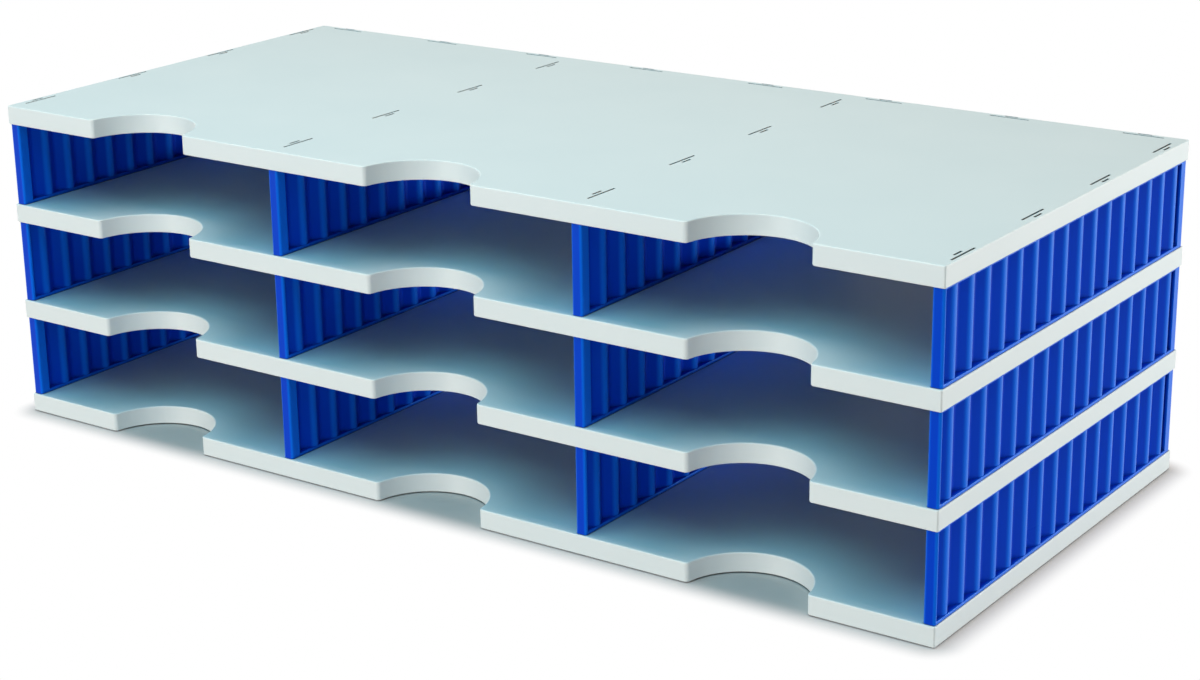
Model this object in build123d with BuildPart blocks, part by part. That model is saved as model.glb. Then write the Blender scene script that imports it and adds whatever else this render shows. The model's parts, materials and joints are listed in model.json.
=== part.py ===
from build123d import *

import os
from math import asin, atan2, cos, hypot, tan

# Document organizer: four moulded shelves, plugged together with twelve corrugated upright walls.
# The walls stand in four columns and three rows, and leave nine compartments open at front and back.
# All sizes are in millimetres. The origin is on the underside, in the middle of the plan,
# with +X to the right along the front, +Y towards the back and +Z up.

# Overall sizes
shelf_width = 723.0
shelf_depth = 331.0
shelf_thickness = 13.0
wall_height = 57.0
bay_count = 3

# Shelf moulding: a thin deck on a rim, four solid spines, a rear bar and a grid of ribs
plan_corner_radius = 1.2
edge_radius = 0.8
deck_skin = 2.5
rim = 2.5
rib = 2.0
spine_width = 12.0
rear_bar_depth = 9.0
cells_across = 4
cells_deep = 5

# Finger scoops in the front edge, one in the middle of each bay
scoop_radius = 41.0
scoop_centre_setout = 2.5
scoop_mouth_radius = 3.0

# Slots that take the tongues of the walls: a long one and a short one side by side,
# with the front pair turned round, so that a wall also fits when it is turned end for end
slot_width = 1.6
long_slot = 28.0
short_slot = 9.5
slot_spacing = 3.2
slots_per_wall = 4
front_slot_setback = 25.5
back_slot_setback = 29.5

# Spare slots along the rear edge, in a left and a right group
rear_slots_per_group = 4
rear_slot_setback = 5.0
rear_slot_side_setback = 29.3
rear_slot_middle_gap = 100.4

# Tongues on the top and bottom of each wall
tongue_length = 5.5
tongue_clearance = 0.1
tongue_tip_chamfer = 0.3

# Walls: a frame of a thin and a thick post and two flanges around a corrugated sheet
wall_thickness = 7.6
wall_side_inset = 0.7
wall_end_inset = 1.2
thin_post_depth = 2.2
thick_post_depth = 7.7
post_radius = 1.6
bottom_flange = 2.0
top_flange = 1.0
frame_edge_radius = 0.4
sheet = 2.4
sheet_inset = 0.4
sheet_bite = 1.0
wave_count = 16
wave_setback = 4.3
bend_share = 0.65

# Cuts run past the surface by this much
overrun = 1.0

# Names of the shelves from the bottom up, of the rows of walls, and of the walls from left to right
shelf_names = ["bottom_shelf", "second_shelf", "third_shelf", "top_shelf"]
row_names = ["bottom_row", "middle_row", "top_row"]
wall_names = ["left_wall", "left_divider", "right_divider", "right_wall"]

# Walls that are plugged in end for end, with the thick post in front
turned_walls = [
    "bottom_row_left_wall",
    "bottom_row_left_divider",
    "middle_row_right_divider",
    "top_row_left_wall",
    "top_row_left_divider",
    "top_row_right_divider",
]

# Places that follow from the sizes above
row_pitch = shelf_thickness + wall_height
bay_pitch = (shelf_width - wall_thickness - 2 * wall_side_inset) / bay_count
bay_centres = [(bay - (bay_count - 1) / 2) * bay_pitch for bay in range(bay_count)]
columns = [(column - bay_count / 2) * bay_pitch for column in range(bay_count + 1)]
front_edge = -shelf_depth / 2
rear_edge = shelf_depth / 2
scoop_centres = [(bay_x, front_edge - scoop_centre_setout) for bay_x in bay_centres]

slot_run = shelf_depth - front_slot_setback - back_slot_setback
slot_pitch = slot_run / (slots_per_wall - 1)
rear_slot_run = (shelf_width - rear_slot_middle_gap) / 2 - rear_slot_side_setback
rear_slot_pitch = rear_slot_run / (rear_slots_per_group - 1)
rear_group_centres = [side * (rear_slot_middle_gap + rear_slot_run) / 2 for side in (-1, 1)]


def wall_slot_places(column_x):
    """Give the centres of the long and of the short slots under one wall, from front to back."""
    long_places = []
    short_places = []
    for slot in range(slots_per_wall):
        slot_y = front_edge + front_slot_setback + slot * slot_pitch
        side = 1 if slot == 0 else -1
        long_places.append((column_x + side * slot_spacing / 2, slot_y))
        short_places.append((column_x - side * slot_spacing / 2, slot_y))
    return long_places, short_places


# One shelf, standing on the plane z = 0
cell_field_width = bay_pitch - spine_width
cell_width = (cell_field_width - (cells_across - 1) * rib) / cells_across
cell_field_front = front_edge + rim
cell_field_rear = rear_edge - rear_bar_depth
cell_depth = (cell_field_rear - cell_field_front - (cells_deep - 1) * rib) / cells_deep
cell_field_y = (cell_field_front + cell_field_rear) / 2

with BuildPart() as shelf:
    # The plan: a rectangle with rounded corners and three round scoops
    with BuildSketch() as plan:
        Rectangle(shelf_width, shelf_depth)
        with Locations(*scoop_centres):
            Circle(scoop_radius, mode=Mode.SUBTRACT)
        mouth_corners = plan.vertices().group_by(Axis.Y)[0].sort_by(Axis.X)[1:-1]
        fillet(mouth_corners, radius=scoop_mouth_radius)
        plan_corners = plan.vertices().group_by(Axis.X)[0] + plan.vertices().group_by(Axis.X)[-1]
        fillet(plan_corners, radius=plan_corner_radius)
    extrude(amount=shelf_thickness)
    outline_edges = shelf.edges().group_by(Axis.Z)[0] + shelf.edges().group_by(Axis.Z)[-1]
    fillet(outline_edges, radius=edge_radius)

    # The hollow underside: cells between the ribs, with a wall left around each scoop
    with BuildSketch():
        for bay_x in bay_centres:
            with Locations((bay_x, cell_field_y)):
                with GridLocations(cell_width + rib, cell_depth + rib, cells_across, cells_deep):
                    Rectangle(cell_width, cell_depth)
        with Locations(*scoop_centres):
            Circle(scoop_radius + rim, mode=Mode.SUBTRACT)
    extrude(amount=shelf_thickness - deck_skin, mode=Mode.SUBTRACT)

    # The slots, right through the spines and the rear bar
    with BuildSketch(Plane.XY.offset(-overrun)):
        for column_x in columns:
            long_places, short_places = wall_slot_places(column_x)
            with Locations(*long_places):
                Rectangle(slot_width, long_slot)
            with Locations(*short_places):
                Rectangle(slot_width, short_slot)
        for group_x in rear_group_centres:
            with Locations((group_x, rear_edge - rear_slot_setback)):
                with GridLocations(rear_slot_pitch, 0, rear_slots_per_group, 1):
                    Rectangle(long_slot, slot_width)
            with Locations((group_x, rear_edge - rear_slot_setback + slot_spacing)):
                with GridLocations(rear_slot_pitch, 0, rear_slots_per_group, 1):
                    Rectangle(short_slot, slot_width)
    extrude(amount=shelf_thickness + 2 * overrun, mode=Mode.SUBTRACT)

# One wall, standing on the plane z = 0 and centred on the column, with its thin post in front
wall_length = shelf_depth - 2 * wall_end_inset
window_length = wall_length - thin_post_depth - thick_post_depth
window_height = wall_height - bottom_flange - top_flange
window_front = thin_post_depth - wall_length / 2
window_centre = (window_front + window_length / 2, bottom_flange + window_height / 2)

# The centre line of the sheet is a zigzag with rounded bends. The slope of its flanks is the one
# at which the rounded bends reach out just as far as the sheet does. It runs straight into the posts.
wave_run = wall_length - 2 * wave_setback
half_wave = wave_run / (2 * wave_count)
swing = (wall_thickness - 2 * sheet_inset - sheet) / 2
full_arc_radius = ((half_wave / 2) ** 2 + swing ** 2) / (2 * swing)
bend_radius = full_arc_radius * bend_share
reach = hypot(half_wave / 2, bend_radius - swing)
flank_slope = asin(bend_radius / reach) - atan2(bend_radius - swing, half_wave / 2)
bend_apex = swing + bend_radius * (1 / cos(flank_slope) - 1)
end_bend = wave_run / 2 - half_wave / 2 + swing / tan(flank_slope)

zigzag = [(-swing, window_front - sheet_bite), (-swing, -end_bend)]
for bend in range(2 * wave_count - 1):
    bend_side = 1 if bend % 2 == 0 else -1
    zigzag.append((bend_side * bend_apex, (bend + 1) * half_wave - wave_run / 2))
zigzag += [(-swing, end_bend), (-swing, wall_length / 2 - post_radius)]

# Each tongue sits at the middle of the two places that its slot has in a wall plugged in either way
slot_play = abs(front_slot_setback - back_slot_setback) + 2 * tongue_clearance
tongue_thickness = slot_width - 2 * tongue_clearance
long_tongues = [(slot_spacing / 2, -slot_run / 2), (-slot_spacing / 2, slot_run / 2)]
short_tongues = [(slot_spacing / 2, -slot_pitch / 2), (-slot_spacing / 2, slot_pitch / 2)]

with BuildPart() as wall:
    # The frame: a slab with rounded posts and a window between them
    with BuildSketch():
        RectangleRounded(wall_thickness, wall_length, post_radius)
    extrude(amount=wall_height)
    end_edges = wall.edges().group_by(Axis.Z)[0] + wall.edges().group_by(Axis.Z)[-1]
    fillet(end_edges, radius=frame_edge_radius)
    with BuildSketch(Plane.YZ):
        with Locations(window_centre):
            Rectangle(window_length, window_height)
    extrude(amount=wall_thickness / 2 + overrun, both=True, mode=Mode.SUBTRACT)
    fillet(wall.edges(Select.LAST).filter_by(Axis.X, reverse=True), radius=frame_edge_radius)

    # The corrugated sheet, let into the posts and half into the flanges
    with BuildSketch(Plane.XY.offset(bottom_flange / 2)):
        with BuildLine():
            FilletPolyline(*zigzag, radius=bend_radius)
            offset(amount=sheet / 2, side=Side.BOTH)
        make_face()
    extrude(amount=wall_height - bottom_flange / 2 - top_flange / 2)

    # The tongues below the bottom flange and above the top flange
    with BuildSketch(Plane.XY.offset(-tongue_length), Plane.XY.offset(wall_height)):
        with Locations(*long_tongues):
            Rectangle(tongue_thickness, long_slot - slot_play)
        with Locations(*short_tongues):
            Rectangle(tongue_thickness, short_slot - slot_play)
    extrude(amount=tongue_length)
    tip_edges = wall.edges().group_by(Axis.Z)[0] + wall.edges().group_by(Axis.Z)[-1]
    chamfer(tip_edges, length=tongue_tip_chamfer)

# Every piece in its place, one file each
os.makedirs("parts", exist_ok=True)
for level, shelf_name in enumerate(shelf_names):
    placed_shelf = Pos(0, 0, level * row_pitch) * shelf.part
    placed_shelf.label = shelf_name
    export_step(placed_shelf, f"parts/{shelf_name}.step")

for row, row_name in enumerate(row_names):
    for column_x, wall_name in zip(columns, wall_names):
        label = f"{row_name}_{wall_name}"
        turn = 180 if label in turned_walls else 0
        placed_wall = Pos(column_x, 0, row * row_pitch + shelf_thickness) * Rot(0, 0, turn) * wall.part
        placed_wall.label = label
        export_step(placed_wall, f"parts/{label}.step")
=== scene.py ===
# %% [markdown]
# # A plug-together document organizer
# The organizer is a stack of four moulded shelves that twelve corrugated walls hold apart.
# Its pieces are already built at their true size, and this lesson never moves or reshapes them.
# What Blender adds is the look: moulded plastic, soft studio light, a pale floor and a camera.

# %% Loading the built pieces
import json
import math

import bpy
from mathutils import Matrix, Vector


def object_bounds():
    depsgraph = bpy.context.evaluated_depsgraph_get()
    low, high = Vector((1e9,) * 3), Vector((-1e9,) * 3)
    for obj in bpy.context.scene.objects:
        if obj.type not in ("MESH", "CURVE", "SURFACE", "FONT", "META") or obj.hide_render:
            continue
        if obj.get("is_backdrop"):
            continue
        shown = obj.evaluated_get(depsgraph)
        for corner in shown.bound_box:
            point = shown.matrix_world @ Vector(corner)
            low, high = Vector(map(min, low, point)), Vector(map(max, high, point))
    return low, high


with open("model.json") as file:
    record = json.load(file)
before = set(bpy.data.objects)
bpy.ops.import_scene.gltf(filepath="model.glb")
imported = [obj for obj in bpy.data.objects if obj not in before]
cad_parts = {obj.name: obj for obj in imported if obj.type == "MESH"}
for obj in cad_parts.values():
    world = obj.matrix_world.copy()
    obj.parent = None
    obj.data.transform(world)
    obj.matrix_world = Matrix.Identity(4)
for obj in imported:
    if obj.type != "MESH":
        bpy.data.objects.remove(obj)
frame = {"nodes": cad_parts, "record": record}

scene = bpy.context.scene
cad_low, cad_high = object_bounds()
size = cad_high - cad_low
MM_PER_M = 1000
size_mm = [round(side * MM_PER_M, 1) for side in size]
print("organizer of", size_mm, "mm in", len(frame["nodes"]), "pieces")

# %% [markdown]
# ## Sorting the pieces
# Only two plastics are used. The shelves are pale grey, and every wall and divider is royal blue.
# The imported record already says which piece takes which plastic, so the lists are read from there.

# %% Sorting the pieces by plastic
pieces_by_plastic = {}
for entry in frame["record"]["subparts"]:
    pieces_by_plastic.setdefault(entry["material_slot"], []).append(frame["nodes"][entry["node"]])
for plastic, pieces in pieces_by_plastic.items():
    print(plastic, "on", len(pieces), "pieces")

# %% [markdown]
# ## The camera
# A catalogue view looks down on the organizer from its front right corner with a long lens,
# so that the top, the front and one side all show. The three angles say how far the camera is
# tilted up from looking straight down, how far it leans, and how far it is turned to the side.

# %% Setting up the camera
LENS_MM = 74.9
SENSOR_MM = 36.0
CAMERA_PLACE = (0.944, -1.307, 0.604)
CAMERA_ANGLES = (71.70, 0.81, 35.02)

camera_data = bpy.data.cameras.new("viewpoint")
camera_data.lens = LENS_MM
camera_data.sensor_width = SENSOR_MM
camera_data.sensor_fit = "HORIZONTAL"
camera = bpy.data.objects.new("viewpoint", camera_data)
camera.location = CAMERA_PLACE
camera.rotation_euler = [math.radians(angle) for angle in CAMERA_ANGLES]
scene.collection.objects.link(camera)
scene.camera = camera
print("camera at", CAMERA_PLACE, "with a", LENS_MM, "mm lens")

# %% [markdown]
# ## A helper for node trees
# Every finish below is a small tree of shader nodes. One helper makes a node, sets its options,
# and either fills an input with a value or plugs another node's output into it.


# %% A helper that adds one node
def add_node(tree, kind, inputs=None, **options):
    """Add a node of this kind, set its options, and fill or link its inputs."""
    made = tree.nodes.new("ShaderNode" + kind)
    for option, value in options.items():
        setattr(made, option, value)
    for place, value in (inputs or {}).items():
        if isinstance(value, bpy.types.NodeSocket):
            tree.links.new(value, made.inputs[place])
        else:
            made.inputs[place].default_value = value
    return made


# %% [markdown]
# ## White surroundings
# The background of a catalogue picture is plain white, but a white world would also pour light
# into every corner. So rays from the camera, and reflections, see white, while the light that
# falls on the object from the surroundings stays dim and blue.

# %% The world
AMBIENT_STRENGTH = 0.05
AMBIENT_COLOUR = (0.30, 0.70, 1.0, 1.0)
WHITE = (1.0, 1.0, 1.0, 1.0)
WHITE_STRENGTH = 1.0


def sees_background(tree):
    """Give a socket that is 1 for rays from the camera, in a reflection or through glass."""
    path = add_node(tree, "LightPath")
    camera_ray = path.outputs["Is Camera Ray"]
    mirror_ray = path.outputs["Is Glossy Ray"]
    glass_ray = path.outputs["Is Transmission Ray"]
    seen_or_mirrored = add_node(tree, "Math", {0: camera_ray, 1: mirror_ray}, operation="MAXIMUM")
    seen_at_all = add_node(
        tree, "Math", {0: seen_or_mirrored.outputs[0], 1: glass_ray}, operation="MAXIMUM")
    return seen_at_all.outputs[0]


world = bpy.data.worlds.new("studio")
scene.world = world
world.use_nodes = True
tree = world.node_tree
tree.nodes.clear()
dim = add_node(tree, "Background", {"Color": AMBIENT_COLOUR, "Strength": AMBIENT_STRENGTH})
white = add_node(tree, "Background", {"Color": WHITE, "Strength": WHITE_STRENGTH})
either = add_node(
    tree, "MixShader", {0: sees_background(tree), 1: dim.outputs[0], 2: white.outputs[0]})
add_node(tree, "OutputWorld", {"Surface": either.outputs[0]})
scene.view_settings.view_transform = "Standard"
print("world is white to the eye and", AMBIENT_STRENGTH, "strong as light")

# %% [markdown]
# ## The floor
# The floor is pale card. Under the organizer and close to it the card shows the soft shadow, and
# within two centimetres it fades into the white background, so that no horizon shows. The fade
# starts just inside the edge of the organizer's footprint and is as wide on every side. From below
# the card is clear, so that the ribbed underside can be looked at too.

# %% The floor
FLOOR_SIDE = 12.0
FLOOR_DROP = 0.0004
FLOOR_CARD = (0.56, 0.51, 0.49, 1.0)
FADE_INSET = 0.008
FADE_WIDTH = 0.027

half = FLOOR_SIDE / 2
level = cad_low.z - FLOOR_DROP
floor_corners = [
    (-half, -half, level),
    (half, -half, level),
    (half, half, level),
    (-half, half, level),
]
floor_mesh = bpy.data.meshes.new("floor")
floor_mesh.from_pydata(floor_corners, [], [range(len(floor_corners))])
floor = bpy.data.objects.new("floor", floor_mesh)
scene.collection.objects.link(floor)
floor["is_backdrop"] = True

card = bpy.data.materials.new("pale_card")
card.use_nodes = True
tree = card.node_tree
tree.nodes.clear()
place = add_node(tree, "TexCoord")
quarter = add_node(tree, "VectorMath", {0: place.outputs["Object"]}, operation="ABSOLUTE")
footprint = (size.x / 2 - FADE_INSET, size.y / 2 - FADE_INSET, FLOOR_SIDE)
beyond = add_node(tree, "VectorMath", {0: quarter.outputs[0], 1: footprint}, operation="SUBTRACT")
outside = add_node(tree, "VectorMath", {0: beyond.outputs[0]}, operation="MAXIMUM")
gap = add_node(tree, "VectorMath", {0: outside.outputs[0]}, operation="LENGTH")
fade = add_node(
    tree, "MapRange", {"Value": gap.outputs["Value"], "From Max": FADE_WIDTH},
    interpolation_type="SMOOTHSTEP")
white_share = add_node(
    tree, "Math", {0: sees_background(tree), 1: fade.outputs[0]}, operation="MULTIPLY")
near = add_node(tree, "BsdfDiffuse", {"Color": FLOOR_CARD})
far = add_node(tree, "Emission", {"Color": WHITE, "Strength": WHITE_STRENGTH})
top_side = add_node(
    tree, "MixShader", {0: white_share.outputs[0], 1: near.outputs[0], 2: far.outputs[0]})
facing = add_node(tree, "NewGeometry")
clear = add_node(tree, "BsdfTransparent", {"Color": WHITE})
surface = add_node(
    tree, "MixShader", {0: facing.outputs["Backfacing"], 1: top_side.outputs[0], 2: clear.outputs[0]})
add_node(tree, "OutputMaterial", {"Surface": surface.outputs[0]})
floor_mesh.materials.append(card)
white_from_mm = round((FADE_WIDTH - FADE_INSET) * MM_PER_M)
print("floor", FLOOR_SIDE, "m wide, white from", white_from_mm, "mm away")

# %% [markdown]
# ## Soft studio light
# One lamp alone would leave hard shadows, so six soft boxes share the work. Two hang above: a
# narrow amber one over the middle and a broad cool one towards the front. Together they give the
# top its even tone, and mostly the cool one reaches into the compartments, so their shade is
# blue-green. Two low ones stand in front, left and right, and light the edges of the shelves. They
# are no higher than the organizer, so the floors of the compartments stay dark. A third low one
# stands behind the right side and grazes that wall, so that the crests of the corrugation catch it
# and the valleys don't. The last keeps the back and the left side readable.

# %% The soft boxes
MIDDLE = (cad_low + cad_high) / 2
ZENITH = 90
LOW = -1
LOW_BOX_HEIGHT = 0.13
AMBER = (1.0, 0.66, 0.46)
COOL = (0.34, 0.82, 1.0)
WARM = (1.0, 0.80, 0.70)
CLEAR = (1.0, 0.99, 0.97)
SOFT_BOXES = {
    "top_box": {
        "azimuth": 0, "elevation": ZENITH, "distance": 1.6,
        "sides": (2.4, 0.8), "watts": 20.5, "tint": AMBER},
    "sky_box": {
        "azimuth": -10, "elevation": 64, "distance": 1.6,
        "sides": (2.2, 1.4), "watts": 22, "tint": COOL},
    "left_box": {
        "azimuth": -22, "elevation": LOW, "distance": 2.4,
        "sides": (1.6, LOW_BOX_HEIGHT), "watts": 32, "tint": WARM},
    "right_box": {
        "azimuth": 40, "elevation": LOW, "distance": 2.6,
        "sides": (0.8, LOW_BOX_HEIGHT), "watts": 15, "tint": WARM},
    "rear_box": {
        "azimuth": 130, "elevation": LOW, "distance": 2.6,
        "sides": (0.5, LOW_BOX_HEIGHT), "watts": 46, "tint": CLEAR},
    "back_box": {
        "azimuth": 225, "elevation": LOW, "distance": 2.6,
        "sides": (0.8, LOW_BOX_HEIGHT), "watts": 24, "tint": CLEAR},
}


def soft_box(name, azimuth, elevation, distance, sides, watts, tint):
    """Stand a rectangular lamp round the object, counted from the front, and aim it at the middle."""
    lamp_data = bpy.data.lights.new(name, "AREA")
    lamp_data.shape = "RECTANGLE"
    lamp_data.size, lamp_data.size_y = sides
    lamp_data.energy = watts
    lamp_data.color = tint
    lamp = bpy.data.objects.new(name, lamp_data)
    turn = math.radians(azimuth)
    rise = math.radians(elevation)
    flat = math.cos(rise) * distance
    lamp.location = MIDDLE
    lamp.location.x += math.sin(turn) * flat
    lamp.location.y -= math.cos(turn) * flat
    lamp.location.z += math.sin(rise) * distance
    lamp.rotation_euler = (math.radians(ZENITH - elevation), 0, turn)
    lamp.visible_camera = False
    scene.collection.objects.link(lamp)
    return lamp


for box_name, settings in SOFT_BOXES.items():
    lamp = soft_box(box_name, **settings)
    print(box_name, settings["watts"], "W at", [round(value, 2) for value in lamp.location])

# %% [markdown]
# ## Moulded grain
# Both plastics come out of a steel mould whose walls are finely eroded, so the surface has a grain
# of less than a millimetre, with slower unevenness under it. Both plastics use the same grain
# at different depths, so it is a node group.


# %% The moulded grain group
def new_group(name, inputs, outputs):
    """Make a shader node group with these sockets and return it with its inner ends."""
    group = bpy.data.node_groups.new(name, "ShaderNodeTree")
    for socket_name, default in inputs.items():
        socket = group.interface.new_socket(socket_name, in_out="INPUT", socket_type="NodeSocketFloat")
        socket.default_value = default
    for socket_name in outputs:
        group.interface.new_socket(socket_name, in_out="OUTPUT", socket_type="NodeSocketFloat")
    start = group.nodes.new("NodeGroupInput")
    end = group.nodes.new("NodeGroupOutput")
    return group, start.outputs, end.inputs


GRAINS_PER_METRE = 1300.0
GRAIN_DETAIL = 2.0
CLOUDS_PER_METRE = 14.0
CLOUD_DETAIL = 4.0

grain_group, given, result = new_group(
    "moulded_grain",
    {"Grains per metre": GRAINS_PER_METRE, "Clouds per metre": CLOUDS_PER_METRE},
    ["Height", "Clouds"])
place = add_node(grain_group, "TexCoord")
fine = add_node(grain_group, "TexNoise", {
    "Vector": place.outputs["Object"], "Scale": given["Grains per metre"], "Detail": GRAIN_DETAIL})
clouds = add_node(grain_group, "TexNoise", {
    "Vector": place.outputs["Object"], "Scale": given["Clouds per metre"], "Detail": CLOUD_DETAIL})
grain_group.links.new(fine.outputs["Fac"], result["Height"])
grain_group.links.new(clouds.outputs["Fac"], result["Clouds"])
print("group", grain_group.name)

# %% [markdown]
# ## Rubbed and highlit edges
# Wherever two faces meet, hands and paper polish the plastic a little, and the edges are also
# lightened in the colour as a painted highlight. A bevelled copy of the surface normal turns away
# from the true one only near an edge, and that difference is the mask.

# %% The rubbed and highlit edge group
RUB_REACH = 0.0012
RUB_SAMPLES = 4
RUB_STARTS_AT = 0.995
RUB_FULL_AT = 0.85

edge_group, given, result = new_group("rubbed_and_highlit_edges", {"Reach": RUB_REACH}, ["Mask"])
rounded = add_node(edge_group, "Bevel", {"Radius": given["Reach"]}, samples=RUB_SAMPLES)
true = add_node(edge_group, "NewGeometry")
alike = add_node(
    edge_group, "VectorMath", {0: rounded.outputs["Normal"], 1: true.outputs["Normal"]},
    operation="DOT_PRODUCT")
mask = add_node(edge_group, "MapRange", {
    "Value": alike.outputs["Value"], "From Min": RUB_STARTS_AT, "From Max": RUB_FULL_AT})
edge_group.links.new(mask.outputs[0], result["Mask"])
print("group", edge_group.name)

# %% [markdown]
# ## Painted shade in the hollows
# The slots, and the seams where a wall stands on a shelf, are darkened in the colour as painted
# shade. Such a place sees little of the space around it within a few millimetres.

# %% The painted shade hollow group
HOLLOW_REACH = 0.003
HOLLOW_SAMPLES = 8
HOLLOW_STARTS_AT = 0.82
HOLLOW_FULL_AT = 0.32

hollow_group, given, result = new_group("painted_shade_hollows", {"Reach": HOLLOW_REACH}, ["Mask"])
view_out = add_node(
    hollow_group, "AmbientOcclusion", {"Distance": given["Reach"]}, samples=HOLLOW_SAMPLES)
mask = add_node(hollow_group, "MapRange", {
    "Value": view_out.outputs["AO"], "From Min": HOLLOW_STARTS_AT, "From Max": HOLLOW_FULL_AT})
hollow_group.links.new(mask.outputs[0], result["Mask"])
print("group", hollow_group.name)

# %% [markdown]
# ## Painted crest highlights
# The crests of the corrugation and the corners of the posts stand proud, and they are lightened in
# the colour as a painted highlight. How far a point stands out from the middle of its wall is read
# from the piece's own box, in which the thickness of the wall runs from 0 to 1.

# %% The painted crest highlight group
CREST_STARTS_AT = 0.45
CREST_FULL_AT = 0.90
LEFT_FACE = -1.0
RIGHT_FACE = 1.0

crest_group, given, result = new_group(
    "painted_crest_highlights", {"Starts at": CREST_STARTS_AT, "Full at": CREST_FULL_AT}, ["Mask"])
place = add_node(crest_group, "TexCoord")
across = add_node(crest_group, "SeparateXYZ", {0: place.outputs["Generated"]})
signed = add_node(
    crest_group, "MapRange", {"Value": across.outputs["X"], "To Min": LEFT_FACE, "To Max": RIGHT_FACE})
proud = add_node(crest_group, "Math", {0: signed.outputs[0]}, operation="ABSOLUTE")
mask = add_node(
    crest_group, "MapRange",
    {"Value": proud.outputs[0], "From Min": given["Starts at"], "From Max": given["Full at"]},
    interpolation_type="SMOOTHSTEP")
crest_group.links.new(mask.outputs[0], result["Mask"])
print("group", crest_group.name)

# %% [markdown]
# ## One recipe for both plastics
# The two plastics differ in tone, shine and grain, but they are built alike. The colour and the
# roughness drift slowly, the edges are lighter from wear and from a painted highlight, the hollows
# are darkened with painted shade, and the grain breaks up reflections. A plastic that has a tone
# for crests gets a painted highlight on them as well.


# %% The recipe for a moulded plastic
def place_group(tree, group, **settings):
    """Put a node group into a material, change some of its settings, and give its outputs."""
    made = tree.nodes.new("ShaderNodeGroup")
    made.node_tree = group
    for setting, value in settings.items():
        made.inputs[setting].default_value = value
    return made.outputs


def mix_colours(tree, share, first, second):
    """Blend two colours by a share from 0 to 1."""
    made = add_node(tree, "Mix", data_type="RGBA")
    share_in, first_in, second_in = [socket for socket in made.inputs if socket.enabled]
    tree.links.new(share, share_in)
    for socket, colour in ((first_in, first), (second_in, second)):
        if isinstance(colour, bpy.types.NodeSocket):
            tree.links.new(colour, socket)
        else:
            socket.default_value = colour
    return [socket for socket in made.outputs if socket.enabled][0]


ROUGHNESS_DRIFT = 0.06
GRAIN_STRENGTH = 0.35
PLASTIC_IOR = 1.55


def moulded_plastic(name, tones, roughness, shine, shine_tint, grain_depth, hollow_reach):
    """Make a moulded plastic from its tones, its roughness and shine, its grain and its hollows."""
    material = bpy.data.materials.new(name)
    material.use_nodes = True
    tree = material.node_tree
    tree.nodes.clear()
    grain = place_group(tree, grain_group)
    drifted = mix_colours(tree, grain["Clouds"], tones["plain"], tones["drift"])
    # Crests: the colour is lightened there as a painted highlight.
    if "crest" in tones:
        drifted = mix_colours(tree, place_group(tree, crest_group)["Mask"], drifted, tones["crest"])
    # Edges: lighter from wear and from a painted highlight.
    rubbed_and_highlit = mix_colours(tree, place_group(tree, edge_group)["Mask"], drifted, tones["edge"])
    # Hollows: the colour is darkened there as painted shade.
    hollow = place_group(tree, hollow_group, Reach=hollow_reach)
    shade_darkened = mix_colours(tree, hollow["Mask"], rubbed_and_highlit, tones["hollow"])
    uneven = add_node(tree, "MapRange", {
        "Value": grain["Clouds"],
        "To Min": roughness - ROUGHNESS_DRIFT,
        "To Max": roughness + ROUGHNESS_DRIFT})
    bump = add_node(tree, "Bump", {
        "Height": grain["Height"], "Strength": GRAIN_STRENGTH, "Distance": grain_depth})
    plastic = add_node(tree, "BsdfPrincipled", {
        "Base Color": shade_darkened,
        "Roughness": uneven.outputs[0],
        "Normal": bump.outputs[0],
        "IOR": PLASTIC_IOR,
        "Specular IOR Level": shine,
        "Specular Tint": shine_tint})
    add_node(tree, "OutputMaterial", {"Surface": plastic.outputs[0]})
    return material


# %% [markdown]
# ## The grey shelf plastic
# The shelves are pale grey polystyrene with a cool tint and a satin surface. The colour drifts
# only slightly across a shelf, the edges are a touch lighter from wear and from a painted highlight,
# and the slots are painted dark inside as shade.

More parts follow.
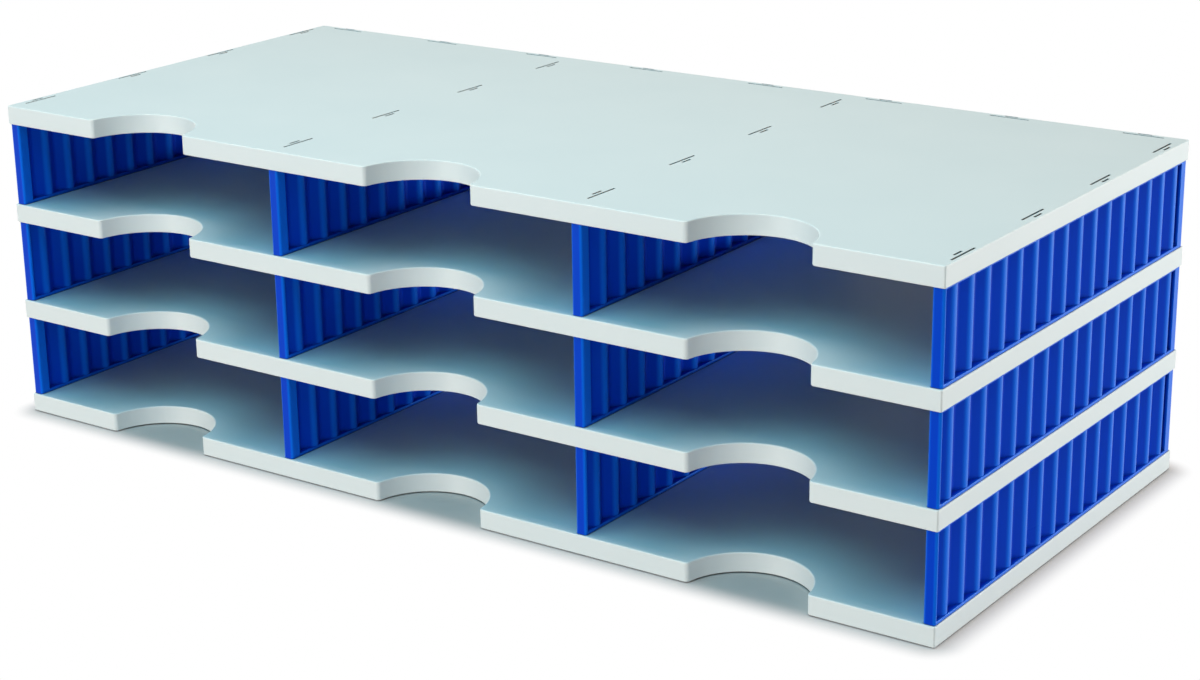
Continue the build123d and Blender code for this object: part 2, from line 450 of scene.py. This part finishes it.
# %% The grey shelf plastic
GREY_TONES = {
    "plain": (0.68, 0.765, 0.775, 1.0),
    "drift": (0.65, 0.74, 0.755, 1.0),
    # Edge tone: wear and painted highlight.
    "edge": (0.76, 0.82, 0.82, 1.0),
    # Painted shade tone for the slots and seams.
    "hollow": (0.03, 0.04, 0.045, 1.0),
}
GREY_ROUGHNESS = 0.45
GREY_SHINE = 0.18
GREY_GRAIN_DEPTH = 0.00012
GREY_HOLLOW_REACH = 0.0022
grey_plastic = moulded_plastic(
    "pale_grey_plastic", GREY_TONES, GREY_ROUGHNESS, GREY_SHINE, WHITE, GREY_GRAIN_DEPTH,
    GREY_HOLLOW_REACH)
print("made", grey_plastic.name)

# %% [markdown]
# ## The blue wall plastic
# The walls are royal blue through and through, and smoother than the shelves, so each crest
# of the corrugation carries a bright line, and a painted highlight tone makes the crests lighter
# still.

# %% The blue wall plastic
BLUE_TONES = {
    "plain": (0.001, 0.041, 0.57, 1.0),
    "drift": (0.001, 0.036, 0.51, 1.0),
    # Painted highlight tone for the crests.
    "crest": (0.004, 0.135, 0.78, 1.0),
    # Edge tone: wear and painted highlight.
    "edge": (0.005, 0.105, 0.68, 1.0),
    # Painted shade tone for the seams and the feet of the valleys.
    "hollow": (0.001, 0.017, 0.24, 1.0),
}
BLUE_ROUGHNESS = 0.30
BLUE_SHINE = 0.20
BLUE_SHINE_TINT = (0.03, 0.60, 1.0, 1.0)
BLUE_GRAIN_DEPTH = 0.00003
BLUE_HOLLOW_REACH = 0.004
blue_plastic = moulded_plastic(
    "royal_blue_plastic", BLUE_TONES, BLUE_ROUGHNESS, BLUE_SHINE, BLUE_SHINE_TINT, BLUE_GRAIN_DEPTH,
    BLUE_HOLLOW_REACH)
print("made", blue_plastic.name)

# %% [markdown]
# ## Dressing the pieces
# Every piece keeps its shape and only gets its plastic.

# %% Dressing the pieces
plastics = {"grey_shelf": grey_plastic, "blue_wall": blue_plastic}
for plastic, pieces in pieces_by_plastic.items():
    for piece in pieces:
        piece.data.materials.clear()
        piece.data.materials.append(plastics[plastic])
    print(plastics[plastic].name, "on", len(pieces), "pieces")

# %% [markdown]
# ## The size that shows
# Looks must not change the size. The box of everything that shows is printed, to set beside
# the size of the built pieces printed at the start.

# %% The size that shows
shown_low, shown_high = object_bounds()
shown_mm = [round(side * MM_PER_M, 1) for side in shown_high - shown_low]
print("shown size", shown_mm, "mm")
